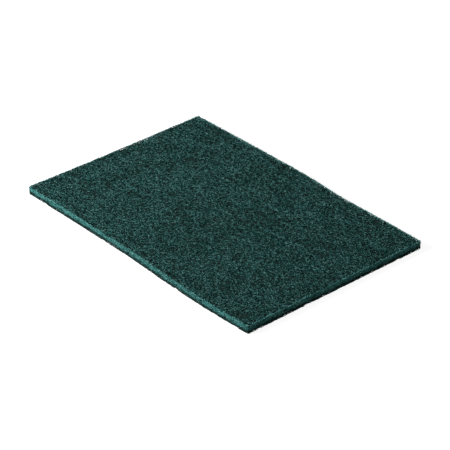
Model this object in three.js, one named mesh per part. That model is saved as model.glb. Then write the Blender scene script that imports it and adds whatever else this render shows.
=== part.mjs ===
// Nylon scouring pad: one flat rectangle cut from a lofted web of crimped nylon fibres.
// Millimetres, +Z up, with +X along the long side. The origin lies under the middle of the pad,
// on the surface that it rests on.

import * as THREE from "three";
import { mergeVertices } from "three/addons/utils/BufferGeometryUtils.js";

// Size of the pad, as cut
const LENGTH = 229;
const WIDTH = 152;
const THICKNESS = 6;

// Soft round along which each face runs into the cut edge
const RIM_RADIUS = 0.8;

// How much rounder than its rim a corner is, seen from above
const CORNER_BLUNTING = 0.7;

// How far each cut side strays outwards from a straight line, at even steps along it.
// The long sides run from the -X end and the short sides from the -Y end.
const FRONT_STRAY = [-0.2, -0.7, -1.0, -0.9, 0.4, 0.6, -0.6];
const BACK_STRAY = [-0.6, -0.2, 0.5, 0.6, -1.3, -0.9, -0.8];
const LEFT_STRAY = [-0.8, -1.2, -0.6, 0.2];
const RIGHT_STRAY = [0.5, -0.2, -0.7, -1.0];

// The web is laid in crossed layers. Each leaves low ridges on the upper face: the angle that
// they run across, in degrees from +X, the pitch from ridge to ridge, and their height.
const LAYERS = [
  { across: 12, pitch: 43, height: 0.14 },
  { across: 68, pitch: 17, height: 0.10 },
  { across: 127, pitch: 21, height: 0.12 },
  { across: 163, pitch: 13, height: 0.08 },
];

// Longest step between two grid lines across a face, and up the cut edge
const FACE_STEP = 5.6;
const EDGE_STEP = 2.4;

// Finish of the resin-coated fibre
const FIBRE_COLOUR = 0x24433f;
const FIBRE_ROUGHNESS = 0.9;

// Distances in from a side at which grid lines turn the rim in steps of an eighth of a half turn
const RIM_TURN = Math.PI / 8;
const RIM_LINES = [0, RIM_RADIUS * (1 - Math.tan(RIM_TURN)), RIM_RADIUS];
const CORNER_RADIUS = RIM_RADIUS + CORNER_BLUNTING;

// Grid lines across one size of the pad, from its low side to its high side
function gridLines(size, sideLines, step) {
  const half = size / 2;
  const inner = half - sideLines[sideLines.length - 1];
  const cells = Math.ceil(2 * inner / step);
  const lines = sideLines.map((inset) => inset - half);
  for (let k = 1; k < cells; k += 1) {
    lines.push(inner * (2 * k / cells - 1));
  }
  return lines.concat(sideLines.map((inset) => half - inset).reverse());
}

// The place of a grid line on a box that runs from -1 to 1 in even cells
function atLine(lines, place) {
  return lines[Math.round((place + 1) / 2 * (lines.length - 1))];
}

// Rounds the rim: near both a side and a face, a point goes back to a quarter circle
function roundRim(point) {
  const side = Math.min(LENGTH / 2 - Math.abs(point.x), WIDTH / 2 - Math.abs(point.y));
  const face = THICKNESS / 2 - Math.abs(point.z);
  const out = RIM_RADIUS - side;
  const up = RIM_RADIUS - face;
  if (out <= 0 || up <= 0) {
    return;
  }
  const pull = RIM_RADIUS / Math.hypot(out, up);
  const inset = RIM_RADIUS - out * pull;
  point.x = THREE.MathUtils.clamp(point.x, inset - LENGTH / 2, LENGTH / 2 - inset);
  point.y = THREE.MathUtils.clamp(point.y, inset - WIDTH / 2, WIDTH / 2 - inset);
  point.z = Math.sign(point.z) * (THICKNESS / 2 - RIM_RADIUS + up * pull);
}

// Rounds the corner as seen from above: each square ring round its centre becomes a circle
function roundCorner(point) {
  const centreX = LENGTH / 2 - CORNER_RADIUS;
  const centreY = WIDTH / 2 - CORNER_RADIUS;
  const outX = Math.abs(point.x) - centreX;
  const outY = Math.abs(point.y) - centreY;
  if (outX <= 0 || outY <= 0) {
    return;
  }
  const pull = Math.max(outX, outY) / Math.hypot(outX, outY);
  point.x = Math.sign(point.x) * (centreX + outX * pull);
  point.y = Math.sign(point.y) * (centreY + outY * pull);
}

// A smooth curve through the strays of one side, from 0 at its first end to 1 at its last
function strayCurve(strays) {
  return new THREE.SplineCurve(strays.map((out, k) => new THREE.Vector2(k, out)));
}

const FRONT = strayCurve(FRONT_STRAY);
const BACK = strayCurve(BACK_STRAY);
const LEFT = strayCurve(LEFT_STRAY);
const RIGHT = strayCurve(RIGHT_STRAY);

// Stretches the sheet so that its four sides follow their strays
function followStray(point) {
  const alongX = THREE.MathUtils.clamp(point.x / LENGTH + 0.5, 0, 1);
  const alongY = THREE.MathUtils.clamp(point.y / WIDTH + 0.5, 0, 1);
  const sideX = point.x > 0 ? RIGHT : LEFT;
  const sideY = point.y > 0 ? BACK : FRONT;
  point.x *= 1 + sideX.getPoint(alongY).y / (LENGTH / 2);
  point.y *= 1 + sideY.getPoint(alongX).y / (WIDTH / 2);
}

// Height of the crossed ridges above or below the even thickness
function ridgeHeight(x, y) {
  let height = 0;
  for (const layer of LAYERS) {
    const angle = THREE.MathUtils.degToRad(layer.across);
    const across = x * Math.cos(angle) + y * Math.sin(angle);
    height += layer.height * Math.sin(2 * Math.PI * across / layer.pitch);
  }
  return height;
}

// Stands the sheet on its flat underside and swells it to its local thickness
function swell(point) {
  const height = point.z + THICKNESS / 2;
  point.z = height * (1 + ridgeHeight(point.x, point.y) / THICKNESS);
}

// The pad's closed surface: a gridded box whose points are moved to the cut web's form
function padGeometry() {
  const linesX = gridLines(LENGTH, [...RIM_LINES, CORNER_RADIUS], FACE_STEP);
  const linesY = gridLines(WIDTH, [...RIM_LINES, CORNER_RADIUS], FACE_STEP);
  const linesZ = gridLines(THICKNESS, RIM_LINES, EDGE_STEP);
  const box = new THREE.BoxGeometry(
    2, 2, 2, linesX.length - 1, linesY.length - 1, linesZ.length - 1);
  box.deleteAttribute("normal");
  box.deleteAttribute("uv");

  const places = box.getAttribute("position");
  const point = new THREE.Vector3();
  for (let k = 0; k < places.count; k += 1) {
    point.fromBufferAttribute(places, k);
    point.set(atLine(linesX, point.x), atLine(linesY, point.y), atLine(linesZ, point.z));
    roundRim(point);
    roundCorner(point);
    followStray(point);
    swell(point);
    places.setXYZ(k, point.x, point.y, point.z);
  }

  const geometry = mergeVertices(box);
  geometry.computeBoundingBox();
  const middle = geometry.boundingBox.getCenter(new THREE.Vector3());
  geometry.translate(-middle.x, -middle.y, 0);
  geometry.computeVertexNormals();
  return geometry;
}

function scouringPad() {
  const material = new THREE.MeshStandardMaterial({
    color: FIBRE_COLOUR,
    roughness: FIBRE_ROUGHNESS,
    metalness: 0,
  });
  const pad = new THREE.Mesh(padGeometry(), material);
  pad.name = "scouring_pad";
  return pad;
}

const group = new THREE.Group();
group.add(scouringPad());

export default group;
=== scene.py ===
import math

import bpy
import numpy as np
from mathutils import Matrix, Vector, noise
from mathutils.bvhtree import BVHTree


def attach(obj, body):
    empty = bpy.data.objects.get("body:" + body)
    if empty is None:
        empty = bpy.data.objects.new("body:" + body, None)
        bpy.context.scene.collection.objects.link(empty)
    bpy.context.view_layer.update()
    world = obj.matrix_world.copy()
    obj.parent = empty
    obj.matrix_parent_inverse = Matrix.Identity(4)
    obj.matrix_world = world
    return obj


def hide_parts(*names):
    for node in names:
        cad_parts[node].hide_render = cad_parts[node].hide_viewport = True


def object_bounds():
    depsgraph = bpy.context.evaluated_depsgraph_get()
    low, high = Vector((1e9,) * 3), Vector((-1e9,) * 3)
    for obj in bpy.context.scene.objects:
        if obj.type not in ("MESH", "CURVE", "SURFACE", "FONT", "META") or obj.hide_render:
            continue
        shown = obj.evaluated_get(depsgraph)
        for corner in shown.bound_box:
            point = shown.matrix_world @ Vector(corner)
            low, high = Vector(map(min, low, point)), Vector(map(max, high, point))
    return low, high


# A nylon scouring pad: an open, lofted web of crimped nylon fibres, cut to a rectangle.
# Its dense inner web is one mesh, and crimped fibres lie over both faces and along the cut edge.

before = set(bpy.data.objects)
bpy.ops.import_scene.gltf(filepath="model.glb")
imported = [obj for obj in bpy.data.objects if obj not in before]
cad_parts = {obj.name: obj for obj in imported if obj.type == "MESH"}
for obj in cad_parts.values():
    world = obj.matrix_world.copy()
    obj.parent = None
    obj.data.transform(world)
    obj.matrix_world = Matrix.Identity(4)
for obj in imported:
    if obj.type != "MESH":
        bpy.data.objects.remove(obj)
cad_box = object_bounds()

MM = 0.001
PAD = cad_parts["scouring_pad"]
PAD_TOP = cad_box[1].z
SEED = 7

# The camera, fitted to the pad's outline. Angles are in degrees, and azimuth 0 looks along +Y.
CAMERA_AZIMUTH = 50.26
CAMERA_ELEVATION = 31.27
CAMERA_ROLL = -0.85
CAMERA_DISTANCE = 1.546
CAMERA_LENS = 185.6
CAMERA_SENSOR = 36.0
AIM_RIGHT = 2.4 * MM
AIM_UP = -2.75 * MM

# A web fibre. A real one is 0.1 to 0.15 mm thick. It is drawn about three times as thick here,
# because a thinner one wouldn't show at the distance that the pad is seen from.
FIBRE_RADIUS = 0.19 * MM
FIBRE_SIDES = 3
FIBRE_STEP = 1.2 * MM
FIBRE_LEAST_POINTS = 3
CRIMP_LENGTH = (3 * MM, 6 * MM)
BEND_LENGTH = (20 * MM, 40 * MM)
RISE_PACE = 0.8

# The open surface web, over the denser inner web. The turn is in radians to either side, the
# depth is that of the deepest fibres, the margin keeps them inside the outline, and crowding
# above 1 brings more of them near the surface. Fibres start up to the start margin outside the
# pad, and only what lies inside it is kept.
FACE_LAYS = 3
FACE_FIBRES = 1420
FACE_POINTS = 33
FACE_TURN = 0.9
FACE_RISE = 0.32 * MM
FACE_DEPTH = 0.85 * MM
FACE_MARGIN = 0.15 * MM
FACE_CROWDING = 1.3
UNDERSIDE_FIBRES = 1350
UNDERSIDE_DEPTH = 0.35 * MM
UNDERSIDE_MARGIN = 0.8 * MM
START_MARGIN = 18 * MM

# The cut edge: the soft round into either face, the height of its foot, painted dark as shade,
# and of its lighter fibres, and how far these reach on over the upper round. Turn and slope are in
# radians.
UPPER_RIM = 1.1 * MM
LOWER_RIM = 0.9 * MM
BASE_HEIGHT = 3.1 * MM
BASE_BLEND = 0.3 * MM
RIM_HEIGHT = 5.2 * MM
RIM_REACH = 1.3 * MM
BASE_FIBRES = 2350
EDGE_FIBRES = 1450
RIM_FIBRES = 450
EDGE_POINTS = 7
EDGE_TURN = 0.2
EDGE_SLOPE = 0.07
EDGE_RISE = 0.1 * MM
EDGE_DEPTH = 0.25 * MM
EDGE_CROWDING = 1.5
BASE_CROWDING = 1.3

# Ends of cut fibres: their root is a depth in the web, tilt is a share of their length, and
# crowding below 1 brings more of them near the upper rim, where their light finish paints a
# highlight
CUT_ENDS = 3400
CUT_END_POINTS = 3
CUT_END_STEP = 0.5 * MM
CUT_END_ROOT = 0.92 * MM
CUT_END_TILT = 0.45
CUT_END_CURL = 0.2 * MM
CUT_END_CROWDING = 0.45

# The dense inner web, drawn in from the solid so that the fibres lie at its surface
CORE_TOP_INSET = 0.7 * MM
CORE_BASE_INSET = 0.25 * MM
CORE_EDGE_INSET = 0.38 * MM
CORE_FLOOR = 0.1 * MM
CORE_VOXEL = 1.5 * MM
CORE_LUMP_HEIGHT = 0.3 * MM
CORE_LUMP_LENGTH = 3 * MM
CORE_LUMP_FADE = 0.9
CORE_LUMP_RATIO = 2.2
CORE_LUMP_OCTAVES = 3

# Nylon and the resin on it: the refractive index of nylon, and a low gloss, as fine grit stands
# out all over the resin
NYLON_IOR = 1.53
GRITTY_GLOSS = 0.08
FIBRE_ROUGHNESS = 0.85
INNER_ROUGHNESS = 0.9

# Sizes in the finish. Real clots of resin are about 0.2 mm long, real grit is about 0.1 mm and
# real strands in the inner web are about 0.3 mm apart. All of these are drawn about three times
# as coarse, because finer ones would blur into one tone from the camera's distance.
CLOT_SIZE = 0.55 * MM
GRIT_SIZE = 0.35 * MM
PATCH_SIZE = 7 * MM
STRAND_PITCH = 1 * MM
INNER_CLOT_SIZE = 0.65 * MM
STRAND_BEND = 1.2 * MM
STRAND_BEND_LENGTH = 2.5 * MM

# Parts of a fibre's shade: its clots, its own tone, and the patch of the pad that it lies in
CLOT_SHARE = 0.7
OWN_SHARE = 0.2
PATCH_SHARE = 0.1

# The map that a fibre's finish is baked through, with gaps as shares of a strip
MAP_COLUMNS = 4
MAP_END_GAP = 0.02
MAP_SIDE_GAP = 0.1
MAP_TIP = 0.01

# The stage: the floor's half size, and the light that it and the surround give off
FLOOR_REACH = 6.0
FLOOR_GLOW = 0.87
SURROUND_LIGHT = 0.15


def colour(code):
    """An sRGB hex colour as linear red, green, blue and alpha."""
    parts = [int(code[k:k + 2], 16) / 255 for k in (1, 3, 5)]
    linear = [p / 12.92 if p <= 0.04045 else ((p + 0.055) / 1.055) ** 2.4 for p in parts]
    return (*linear, 1.0)


def add(tree, kind, inputs=None, stops=None, **settings):
    """Adds a node with its settings. Each input is a value, or an output to link to it, and
    stops are the (place, hex colour) pairs of a colour ramp."""
    made = tree.nodes.new(kind)
    for name, value in settings.items():
        setattr(made, name, value)
    for place, _ in (stops or [])[2:]:
        made.color_ramp.elements.new(place)
    for number, (place, code) in enumerate(stops or []):
        made.color_ramp.elements[number].position = place
        made.color_ramp.elements[number].color = colour(code)
    for socket, value in (inputs or {}).items():
        if isinstance(value, bpy.types.NodeSocket):
            tree.links.new(value, made.inputs[socket])
        else:
            made.inputs[socket].default_value = value
    return made


def empty_material(name):
    """A material with an empty node tree."""
    material = bpy.data.materials.new(name)
    material.use_nodes = True
    material.node_tree.nodes.clear()
    return material, material.node_tree


def fibre_material(name, stops):
    """Crimped nylon fibre, roller coated with resin that holds fine grit: quite matt, each fibre
    in a shade of its own, and mottled along its length by clots of resin and grit."""
    material, tree = empty_material(name)
    place = add(tree, "ShaderNodeTexCoord").outputs["Object"]
    each = add(tree, "ShaderNodeNewGeometry").outputs["Random Per Island"]
    clots = add(tree, "ShaderNodeTexVoronoi", {"Vector": place, "Scale": 1 / CLOT_SIZE})
    clot = add(tree, "ShaderNodeSeparateColor", {"Color": clots.outputs["Color"]})
    patches = add(tree, "ShaderNodeTexNoise",
                  {"Vector": place, "Scale": 1 / PATCH_SIZE, "Detail": 2.0})
    own = add(tree, "ShaderNodeMath", {0: each, 1: OWN_SHARE}, operation="MULTIPLY")
    shaded = add(tree, "ShaderNodeMath",
                 {0: clot.outputs["Red"], 1: CLOT_SHARE, 2: own.outputs[0]},
                 operation="MULTIPLY_ADD")
    tone = add(tree, "ShaderNodeMath",
               {0: patches.outputs["Fac"], 1: PATCH_SHARE, 2: shaded.outputs[0]},
               operation="MULTIPLY_ADD")
    base = add(tree, "ShaderNodeValToRGB", {"Fac": tone.outputs[0]}, stops)
    grit = add(tree, "ShaderNodeTexNoise",
               {"Vector": place, "Scale": 1 / GRIT_SIZE, "Detail": 2.0})
    bump = add(tree, "ShaderNodeBump",
               {"Height": grit.outputs["Fac"], "Strength": 0.6, "Distance": 0.1 * MM})
    surface = add(tree, "ShaderNodeBsdfPrincipled",
                  {"Base Color": base.outputs["Color"], "Roughness": FIBRE_ROUGHNESS,
                   "IOR": NYLON_IOR, "Specular IOR Level": GRITTY_GLOSS,
                   "Normal": bump.outputs["Normal"]})
    add(tree, "ShaderNodeOutputMaterial", {"Surface": surface.outputs["BSDF"]})
    return material


def inner_web_material():
    """Nonwoven nylon bonded with resin, deep in the web: matt, painted dark as the shade deep in
    the web, with the pores between its strands painted darker still as shade."""
    material, tree = empty_material("resin_bonded_inner_web")
    place = add(tree, "ShaderNodeTexCoord").outputs["Object"]
    warp = add(tree, "ShaderNodeTexNoise",
               {"Vector": place, "Scale": 1 / STRAND_BEND_LENGTH, "Detail": 2.0})
    bent = add(tree, "ShaderNodeVectorMath",
               {0: warp.outputs["Color"], 1: (STRAND_BEND,) * 3, 2: place},
               operation="MULTIPLY_ADD")
    cells = add(tree, "ShaderNodeTexVoronoi",
                {"Vector": bent.outputs[0], "Scale": 1 / STRAND_PITCH},
                feature="DISTANCE_TO_EDGE")
    clots = add(tree, "ShaderNodeTexVoronoi",
                {"Vector": bent.outputs[0], "Scale": 1 / INNER_CLOT_SIZE})
    clot = add(tree, "ShaderNodeSeparateColor", {"Color": clots.outputs["Color"]})
    # The middles of the cells, the pores, are painted dark as shade between the strands
    strand = add(tree, "ShaderNodeMapRange",
                 {"Value": cells.outputs["Distance"], "From Min": 0.03, "From Max": 0.3,
                  "To Min": 1.0, "To Max": 0.0})
    tone = add(tree, "ShaderNodeMath",
               {0: strand.outputs["Result"], 1: clot.outputs["Red"]}, operation="MULTIPLY")
    base = add(tree, "ShaderNodeValToRGB", {"Fac": tone.outputs[0]},
               [(0.0, "#010605"), (0.3, "#081d1a"), (0.8, "#2a504b")])
    bump = add(tree, "ShaderNodeBump",
               {"Height": strand.outputs["Result"], "Strength": 0.9, "Distance": 0.5 * MM})
    surface = add(tree, "ShaderNodeBsdfPrincipled",
                  {"Base Color": base.outputs["Color"], "Roughness": INNER_ROUGHNESS,
                   "IOR": NYLON_IOR, "Specular IOR Level": GRITTY_GLOSS,
                   "Normal": bump.outputs["Normal"]})
    add(tree, "ShaderNodeOutputMaterial", {"Surface": surface.outputs["BSDF"]})
    return material


def add_piece(name, mesh, material):
    """Puts a mesh in the scene as a piece of the pad, in its material."""
    piece = bpy.data.objects.new(name, mesh)
    bpy.context.scene.collection.objects.link(piece)
    mesh.materials.clear()
    mesh.materials.append(material)
    mesh.shade_smooth()
    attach(piece, "root")
    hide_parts("scouring_pad")
    return piece


class Outline:
    """The pad's cut outline seen from above, read from the points half way up its edge."""

    def __init__(self):
        points = np.array([v.co for v in PAD.data.vertices])
        middle = np.abs(points[:, 2] - PAD_TOP / 2) < PAD_TOP / 12
        ring = np.unique(points[middle, :2].round(6), axis=0)
        self.turns = np.arctan2(ring[:, 1], ring[:, 0])
        order = np.argsort(self.turns)
        self.turns = self.turns[order]
        self.ring = ring[order]
        self.closed = np.vstack([self.ring, self.ring[:1]])
        steps = np.linalg.norm(np.diff(self.closed, axis=0), axis=1)
        self.along = np.concatenate([[0.0], np.cumsum(steps)])
        self.length = self.along[-1]

    def place(self, along):
        """Points on the outline, by distance along it."""
        along = np.mod(along, self.length)
        return np.stack([np.interp(along, self.along, self.closed[:, k]) for k in (0, 1)], -1)

    def outward(self, along):
        """The outline's outward directions at those distances, smoothed over a millimetre."""
        ahead = self.place(along + 0.5 * MM) - self.place(along - 0.5 * MM)
        ahead /= np.linalg.norm(ahead, axis=-1, keepdims=True)
        return np.stack([ahead[..., 1], -ahead[..., 0]], -1)

    def holds(self, points, margin):
        """Whether each point lies inside the outline, by at least the margin."""
        turns = np.arctan2(points[..., 1], points[..., 0])
        reach = 1 / np.interp(turns, self.turns, 1 / np.linalg.norm(self.ring, axis=1),
                              period=2 * np.pi)
        return np.linalg.norm(points, axis=-1) < reach - margin


def crimped_paths(random, starts, headings, points, turn, rise):
    """Paths of crimped fibres on a plane: two places on it and a rise off it for each point.
    Turn is how far, in radians, a crimp turns a fibre to either side."""
    count = len(starts)
    run = np.arange(points) * FIBRE_STEP
    crimp = 2 * np.pi / random.uniform(*CRIMP_LENGTH, (count, 1))
    bend = 2 * np.pi / random.uniform(*BEND_LENGTH, (count, 1))
    phase = random.uniform(0, 2 * np.pi, (count, 3))
    heading = (headings[:, None]
               + turn * np.sin(crimp * run + phase[:, :1])
               + turn * np.sin(bend * run + phase[:, 1:2]))
    across = starts[:, :1] + np.cumsum(np.cos(heading), 1) * FIBRE_STEP
    along = starts[:, 1:] + np.cumsum(np.sin(heading), 1) * FIBRE_STEP
    off = rise * np.sin(RISE_PACE * crimp * run + phase[:, 2:])
    return np.stack([across, along, off], -1)


def first_run(inside):
    """Keeps only the first unbroken run of inside points of each fibre."""
    entered = np.logical_or.accumulate(inside, axis=1)
    left = np.logical_or.accumulate(entered & ~inside, axis=1)
    return inside & ~left


def fibre_mesh(name, paths, inside, upright):
    """Closed tubes along the inside points of each path. No path runs along its upright."""
    kept = first_run(inside)
    long_enough = kept.sum(1) >= FIBRE_LEAST_POINTS
    paths, kept, upright = paths[long_enough], kept[long_enough], upright[long_enough]
    count, points = kept.shape
    tangent = np.gradient(paths, axis=1)
    tangent /= np.linalg.norm(tangent, axis=-1, keepdims=True)
    side = np.cross(upright[:, None, :], tangent)
    side /= np.linalg.norm(side, axis=-1, keepdims=True)
    over = np.cross(tangent, side)
    turns = 2 * np.pi * (np.arange(FIBRE_SIDES) / FIBRE_SIDES + 0.25)
    ring = (np.cos(turns)[:, None] * side[:, :, None, :]
            + np.sin(turns)[:, None] * over[:, :, None, :])
    corners = (paths[:, :, None, :] + FIBRE_RADIUS * ring).reshape(-1, 3)

    index = np.arange(len(corners)).reshape(count, points, FIBRE_SIDES)
    beside = np.roll(index, -1, axis=2)
    walls = np.stack([index[:, :-1], beside[:, :-1], beside[:, 1:], index[:, 1:]], -1)
    between = kept[:, :-1] & kept[:, 1:]
    walls = walls[between].reshape(-1, 4)
    first = kept.argmax(1)
    last = first + kept.sum(1) - 1
    fibres = np.arange(count)
    ends = np.vstack([index[fibres, first][:, ::-1], index[fibres, last]])

    used, numbers = np.unique(np.concatenate([walls.ravel(), ends.ravel()]), return_inverse=True)
    quads = numbers[:walls.size].reshape(-1, 4).tolist()
    tips = numbers[walls.size:].reshape(-1, FIBRE_SIDES).tolist()
    mesh = bpy.data.meshes.new(name)
    mesh.from_pydata(corners[used], [], quads + tips)
    lay_out(mesh, between, first, last)
    return mesh


def lay_out(mesh, between, first, last):
    """Lays each fibre flat as a strip of its own, on the map that its finish is baked through."""
    count, steps = between.shape
    rows = math.ceil(count / MAP_COLUMNS)
    fibres = np.arange(count)
    left = (fibres % MAP_COLUMNS) / MAP_COLUMNS
    bottom = (fibres // MAP_COLUMNS) / rows
    run = np.linspace(MAP_END_GAP, 1 - MAP_END_GAP, steps + 1) / MAP_COLUMNS
    lane = np.linspace(MAP_SIDE_GAP, 1 - MAP_SIDE_GAP, FIBRE_SIDES + 1) / rows
    u = left[:, None] + run
    v = bottom[:, None] + lane
    shape = (count, steps, FIBRE_SIDES)
    start_u = np.broadcast_to(u[:, :-1, None], shape)
    end_u = np.broadcast_to(u[:, 1:, None], shape)
    low_v = np.broadcast_to(v[:, None, :-1], shape)
    high_v = np.broadcast_to(v[:, None, 1:], shape)
    walls = np.stack([start_u, low_v, start_u, high_v, end_u, high_v, end_u, low_v], -1)
    maps = [walls[between].ravel()]
    for place, out in ((first, -MAP_TIP), (last, MAP_TIP)):
        end = u[fibres, place]
        tip = np.stack([end, v[:, 0], end, v[:, -1], end + out / MAP_COLUMNS, v.mean(1)], -1)
        maps.append(tip.ravel())
    mesh.uv_layers.new(name="OFBake").data.foreach_set("uv", np.concatenate(maps))


def face_heights(surface, places, above):
    """Heights of the solid's upper face, or of its underside, with NaN where it is missed."""
    start = 1.0 if above else -1.0
    heights = np.full(len(places), np.nan)
    for k, (x, y) in enumerate(places):
        hit = surface.ray_cast(Vector((x, y, start)), Vector((0, 0, -start)))[0]
        if hit is not None:
            heights[k] = hit.z
    return heights


def face_fibres(name, random, count, surface, outline, above):
    """Crimped fibres strewn at every angle over the upper face or the underside."""
    low = (cad_box[0].x - START_MARGIN, cad_box[0].y - START_MARGIN)
    high = (cad_box[1].x + START_MARGIN, cad_box[1].y + START_MARGIN)
    starts = random.uniform(low, high, (count, 2))
    headings = random.uniform(0, 2 * np.pi, count)
    paths = crimped_paths(random, starts, headings, FACE_POINTS, FACE_TURN, FACE_RISE)
    deepest = FACE_DEPTH if above else UNDERSIDE_DEPTH
    depth = FIBRE_RADIUS + deepest * random.uniform(0, 1, (count, 1)) ** FACE_CROWDING
    inside = outline.holds(paths[..., :2], FACE_MARGIN if above else UNDERSIDE_MARGIN)
    heights = face_heights(surface, paths[..., :2].reshape(-1, 2), above).reshape(inside.shape)
    inside &= ~np.isnan(heights)
    heights = np.nan_to_num(heights)
    if above:
        paths[..., 2] = heights - depth + paths[..., 2]
    else:
        paths[..., 2] = np.maximum(heights + depth - paths[..., 2], FIBRE_RADIUS)
    upright = np.tile([0.0, 0.0, 1.0], (count, 1))
    return fibre_mesh(name, paths, inside, upright)


def edge_places(outline, along, climb, out):
    """Points over the cut edge, by distance along it, climb up it and over the upper rim, and
    reach out of the web."""
    below = np.clip(1 - climb / LOWER_RIM, 0, 1)
    over = climb - (PAD_TOP - UPPER_RIM)
    turn = np.clip(over / UPPER_RIM, 0, np.pi / 2)
    inward = (LOWER_RIM * (1 - np.sqrt(1 - below ** 2))
              + UPPER_RIM * (1 - np.cos(turn))
              + np.clip(over - UPPER_RIM * np.pi / 2, 0, None))
    height = np.minimum(climb, PAD_TOP - UPPER_RIM) + (UPPER_RIM + out) * np.sin(turn)
    flat = outline.place(along)
    flat = flat + outline.outward(along) * (out * np.cos(turn) - inward)[..., None]
    return np.concatenate([flat, height[..., None]], -1)


def edge_fibres(name, random, outline, climb, lowest, highest):
    """Fibres that start at each climb of the cut edge and lie along it, most of them level, as
    the web is laid in layers. None climbs lower or higher than is given."""
    count = len(climb)
    starts = np.stack([random.uniform(0, outline.length, count), climb], 1)
    headings = random.choice([0, np.pi], count) + random.normal(0, EDGE_SLOPE, count)
    paths = crimped_paths(random, starts, headings, EDGE_POINTS, EDGE_TURN, EDGE_RISE)
    depth = FIBRE_RADIUS + EDGE_DEPTH * random.uniform(0, 1, (count, 1)) ** EDGE_CROWDING
    inside = (paths[..., 1] > lowest) & (paths[..., 1] < highest)
    climbs = paths[..., 1].clip(0, None)
    placed = edge_places(outline, paths[..., 0], climbs, paths[..., 2] - depth)
    level = placed - edge_places(outline, paths[..., 0], climbs, paths[..., 2] - depth - MM)
    upright = level[:, 0] / np.linalg.norm(level[:, 0], axis=1, keepdims=True)
    return fibre_mesh(name, placed, inside, upright)


def cut_ends(name, random, outline):
    """Short ends of cut fibres, which stand out of the edge and of the upper rim."""
    along = random.uniform(0, outline.length, CUT_ENDS)
    up = random.uniform(0, 1, CUT_ENDS) ** CUT_END_CROWDING
    climb = BASE_HEIGHT + (RIM_HEIGHT + RIM_REACH - BASE_HEIGHT) * up
    surface = edge_places(outline, along, climb, np.zeros(CUT_ENDS))
    root = edge_places(outline, along, climb, np.full(CUT_ENDS, -CUT_END_ROOT))
    aim = (surface - root) / CUT_END_ROOT + random.normal(0, CUT_END_TILT, (CUT_ENDS, 3))
    aim /= np.linalg.norm(aim, axis=1, keepdims=True)
    run = np.arange(CUT_END_POINTS) * CUT_END_STEP
    bent = (run / run[-1])[None, :, None] ** 2
    curl = random.normal(0, CUT_END_CURL, (CUT_ENDS, 1, 3)) * bent
    paths = root[:, None, :] + aim[:, None, :] * run[None, :, None] + curl
    paths[..., 2] = np.maximum(paths[..., 2], FIBRE_RADIUS)
    inside = np.ones(paths.shape[:2], bool)
    upright = np.cross(aim, random.normal(0, 1, (CUT_ENDS, 3)))
    upright /= np.linalg.norm(upright, axis=1, keepdims=True)
    return fibre_mesh(name, paths, inside, upright)


def inner_web_mesh():
    """The dense web inside: the solid drawn in under its surface fibres, and lumpy."""
    core = bpy.data.objects.new("inner_web_blank", PAD.data.copy())
    bpy.context.scene.collection.objects.link(core)
    remesh = core.modifiers.new("even_mesh", "REMESH")
    remesh.mode = "VOXEL"
    remesh.voxel_size = CORE_VOXEL
    mesh = bpy.data.meshes.new_from_object(
        core.evaluated_get(bpy.context.evaluated_depsgraph_get()))
    bpy.data.objects.remove(core)
    mesh.name = "inner_web"

    points = np.array([v.co for v in mesh.vertices])
    normals = np.array([v.normal for v in mesh.vertices])
    half = np.array(cad_box[1])[:2]
    points[:, :2] *= 1 - CORE_EDGE_INSET / half
    shrunk = 1 - (CORE_BASE_INSET + CORE_TOP_INSET) / PAD_TOP
    points[:, 2] = CORE_BASE_INSET + points[:, 2] * shrunk
    lumps = [noise.fractal(Vector(p) / CORE_LUMP_LENGTH, CORE_LUMP_FADE, CORE_LUMP_RATIO,
                           CORE_LUMP_OCTAVES) for p in points]
    points += normals * (CORE_LUMP_HEIGHT * np.array(lumps))[:, None]
    points[:, 2] = np.maximum(points[:, 2], CORE_FLOOR)
    mesh.vertices.foreach_set("co", points.ravel())
    mesh.update()
    return mesh


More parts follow.
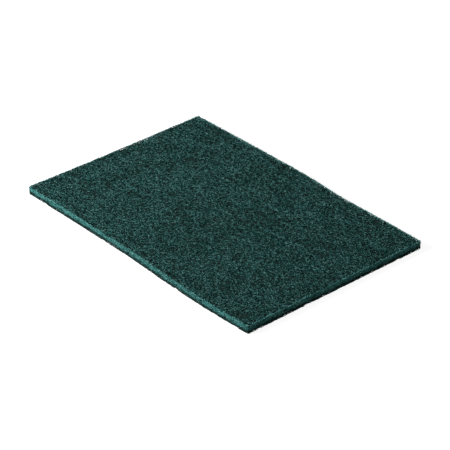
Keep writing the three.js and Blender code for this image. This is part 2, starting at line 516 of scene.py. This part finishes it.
def build_pad():
    """The pad: its inner web, the fibres over both faces and those of the cut edge."""
    random = np.random.default_rng(SEED)
    outline = Outline()
    surface = BVHTree.FromPolygons(
        [v.co for v in PAD.data.vertices], [p.vertices for p in PAD.data.polygons])

    # On the faces the dark green resin coats the fibres and fills their crossings
    # Their tones vary at random along each fibre; the near-black darks are also painted shade of
    # the pores, and the greyish lights painted highlights
    face = fibre_material("resin_coated_nylon_fibre",
                          [(0.2, "#000505"), (0.5, "#084945"), (0.8, "#5a8582")])
    # The cut edge is drawn lighter and bluer than the faces, as painted light for the light that
    # falls on the lit edge
    cut = fibre_material("cut_nylon_fibre",
                         [(0.05, "#133c39"), (0.5, "#2d6663"), (0.95, "#609894")])
    # The cut ends are drawn the lightest of all, as a painted highlight on the edge and its upper
    # rim
    ends = fibre_material("painted_highlight_fibre_end",
                          [(0.05, "#1d4a47"), (0.5, "#43837f"), (0.95, "#8cc4be")])
    # The foot of the edge is painted nearly black: painted shade and painted contact shadow where
    # it meets the floor
    base = fibre_material("painted_shade_nylon_fibre",
                          [(0.05, "#020b0a"), (0.5, "#0c2522"), (0.95, "#284d49")])

    core = add_piece("inner_web", inner_web_mesh(), inner_web_material())
    for lay in range(FACE_LAYS):
        name = f"upper_fibres_{lay + 1}"
        add_piece(name, face_fibres(name, random, FACE_FIBRES, surface, outline, True), face)
    name = "underside_fibres"
    add_piece(name, face_fibres(name, random, UNDERSIDE_FIBRES, surface, outline, False), face)

    # The fibres of the edge's foot, in their painted shade
    name = "base_fibres"
    climb = FIBRE_RADIUS + BASE_HEIGHT * random.uniform(0, 1, BASE_FIBRES) ** BASE_CROWDING
    lowest, highest = FIBRE_RADIUS, BASE_HEIGHT + 2 * BASE_BLEND
    add_piece(name, edge_fibres(name, random, outline, climb, lowest, highest), base)
    name = "edge_fibres"
    climb = np.concatenate([random.uniform(BASE_HEIGHT - BASE_BLEND, RIM_HEIGHT, EDGE_FIBRES),
                            RIM_HEIGHT + RIM_REACH * random.uniform(0, 1, RIM_FIBRES)])
    lowest, highest = BASE_HEIGHT - 2 * BASE_BLEND, RIM_HEIGHT + RIM_REACH
    add_piece(name, edge_fibres(name, random, outline, climb, lowest, highest), cut)
    name = "cut_fibre_ends"
    add_piece(name, cut_ends(name, random, outline), ends)


def add_camera():
    """A long lens that looks down on the pad from its long front side."""
    azimuth, elevation = math.radians(CAMERA_AZIMUTH), math.radians(CAMERA_ELEVATION)
    back = Vector((math.sin(azimuth) * math.cos(elevation),
                   -math.cos(azimuth) * math.cos(elevation),
                   math.sin(elevation)))
    right = Vector((math.cos(azimuth), math.sin(azimuth), 0))
    up = back.cross(right)
    roll = Matrix.Rotation(math.radians(CAMERA_ROLL), 3, back)
    right, up = roll @ right, roll @ up
    data = bpy.data.cameras.new("camera")
    data.lens = CAMERA_LENS
    data.sensor_width = CAMERA_SENSOR
    camera = bpy.data.objects.new("camera", data)
    place = back * CAMERA_DISTANCE + right * AIM_RIGHT + up * AIM_UP
    turn = Matrix((right, up, back)).transposed().to_4x4()
    camera.matrix_world = Matrix.Translation(place) @ turn
    bpy.context.scene.collection.objects.link(camera)
    bpy.context.scene.camera = camera


def seen_directly(tree):
    """Whether a ray comes straight from the camera, or by a mirror or glass."""
    ray = add(tree, "ShaderNodeLightPath").outputs
    direct = add(tree, "ShaderNodeMath",
                 {0: ray["Is Camera Ray"], 1: ray["Is Glossy Ray"]}, operation="MAXIMUM")
    seen = add(tree, "ShaderNodeMath",
               {0: direct.outputs[0], 1: ray["Is Transmission Ray"]}, operation="MAXIMUM")
    return seen.outputs[0]


def add_floor():
    """A plain pale floor, white to the camera, which keeps the pad's shadow."""
    signs = ((-1, -1), (1, -1), (1, 1), (-1, 1))
    corners = [(FLOOR_REACH * x, FLOOR_REACH * y, 0) for x, y in signs]
    mesh = bpy.data.meshes.new("floor")
    mesh.from_pydata(corners, [], [(0, 1, 2, 3)])
    material, tree = empty_material("pale_floor")
    lit = add(tree, "ShaderNodeBsdfDiffuse", {"Color": colour("#a2a2a2")})
    glow = add(tree, "ShaderNodeEmission", {"Strength": FLOOR_GLOW})
    white = add(tree, "ShaderNodeAddShader", {0: lit.outputs[0], 1: glow.outputs[0]})
    bounce = add(tree, "ShaderNodeBsdfDiffuse", {"Color": colour("#707070")})
    mixed = add(tree, "ShaderNodeMixShader",
                {0: seen_directly(tree), 1: bounce.outputs[0], 2: white.outputs[0]})
    add(tree, "ShaderNodeOutputMaterial", {"Surface": mixed.outputs[0]})
    mesh.materials.append(material)
    floor = bpy.data.objects.new("floor", mesh)
    bpy.context.scene.collection.objects.link(floor)


def add_area_light(name, place, size, power):
    """A soft square lamp that faces the pad."""
    data = bpy.data.lights.new(name, "AREA")
    data.shape = "SQUARE"
    data.size = size
    data.energy = power
    lamp = bpy.data.objects.new(name, data)
    lamp.location = place
    lamp.rotation_euler = Vector(place).to_track_quat("Z", "Y").to_euler()
    bpy.context.scene.collection.objects.link(lamp)


def add_lights():
    """A soft key light low on the left and a weak fill on the right, in an even white surround."""
    add_area_light("key_light", place=(-0.334, -0.627, 0.41), size=0.3, power=11.0)
    add_area_light("fill_light", place=(0.75, -0.25, 0.6), size=0.5, power=1.4)
    world = bpy.data.worlds.new("surround")
    bpy.context.scene.world = world
    world.use_nodes = True
    tree = world.node_tree
    tree.nodes.clear()
    white = add(tree, "ShaderNodeBackground", {"Color": (1, 1, 1, 1), "Strength": 1.0})
    soft = add(tree, "ShaderNodeBackground",
               {"Color": (1, 1, 1, 1), "Strength": SURROUND_LIGHT})
    mixed = add(tree, "ShaderNodeMixShader",
                {0: seen_directly(tree), 1: soft.outputs[0], 2: white.outputs[0]})
    add(tree, "ShaderNodeOutputWorld", {"Surface": mixed.outputs[0]})


build_pad()
add_camera()
add_floor()
add_lights()
bpy.context.scene.view_settings.view_transform = "Standard"
